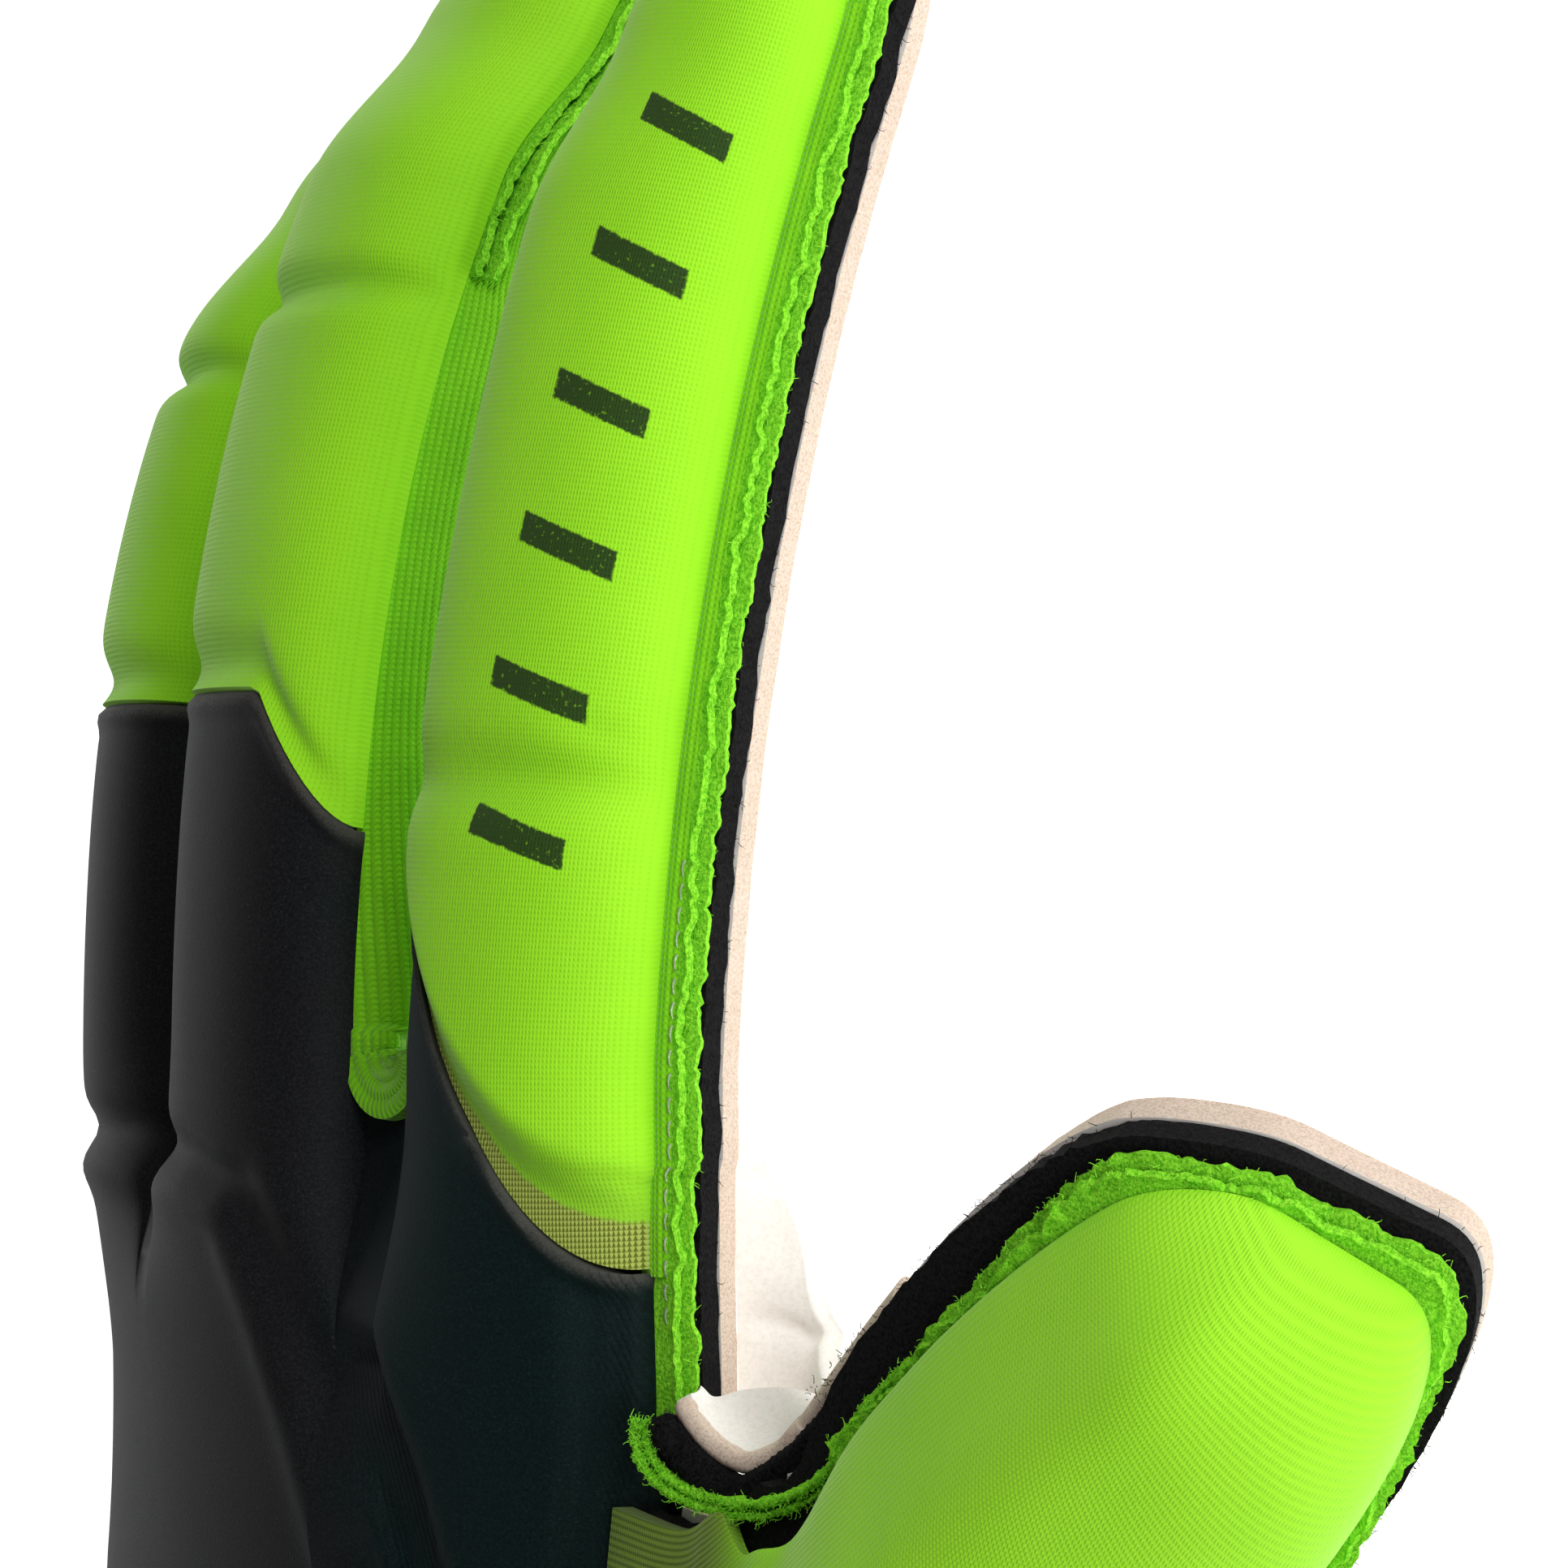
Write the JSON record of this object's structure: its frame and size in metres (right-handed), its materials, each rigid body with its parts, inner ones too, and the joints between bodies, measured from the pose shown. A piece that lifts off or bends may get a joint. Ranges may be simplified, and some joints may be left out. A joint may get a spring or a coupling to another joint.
{
  "type": "goalkeeper_glove",
  "caption": "Soccer goalkeeper glove for the left hand, palm down with arched fingers: flat latex palm, padded knit finger backs, moulded hand back, elastic cuff",
  "frame": {"origin": "on the surface the glove lies on, under the middle of its outline", "axes": "X positive to the thumb side, Y positive to the fingertips, Z positive up from the palm to the back of the hand"},
  "size_m": [0.185, 0.2636, 0.0502],
  "materials": {
    "latex": "cream foamed latex, matt and finely porous",
    "black_fleece": "black brushed fleece on the back of the latex",
    "green_knit": "bright green ribbed knit over thin foam, soft sheen",
    "green_edge": "raw cut edges of bright green knit, fuzzy, with white thread",
    "black_moulded": "black moulded foam under smooth knit, soft sheen",
    "black_elastic": "black ribbed elastic webbing"
  },
  "bodies": {
    "root": {"palm_latex": "latex", "palm_backing": "black_fleece", "backhand_panel": "black_moulded", "little_pad": "green_knit", "ring_pad": "green_knit", "middle_pad": "green_knit", "index_pad": "green_knit", "gusset_little_ring": "green_knit", "gusset_ring_middle": "green_knit", "gusset_middle_index": "green_knit", "seam_little": "green_edge", "seam_ring": "green_edge", "seam_middle": "green_edge", "seam_index": "green_edge", "thumb_latex": "latex", "thumb_backing": "black_fleece", "thumb_pad": "green_knit", "seam_thumb": "green_edge", "web_latex": "latex", "wrist_cuff": "black_elastic", "wrist_strap": "black_elastic"}
  },
  "joints": []
}
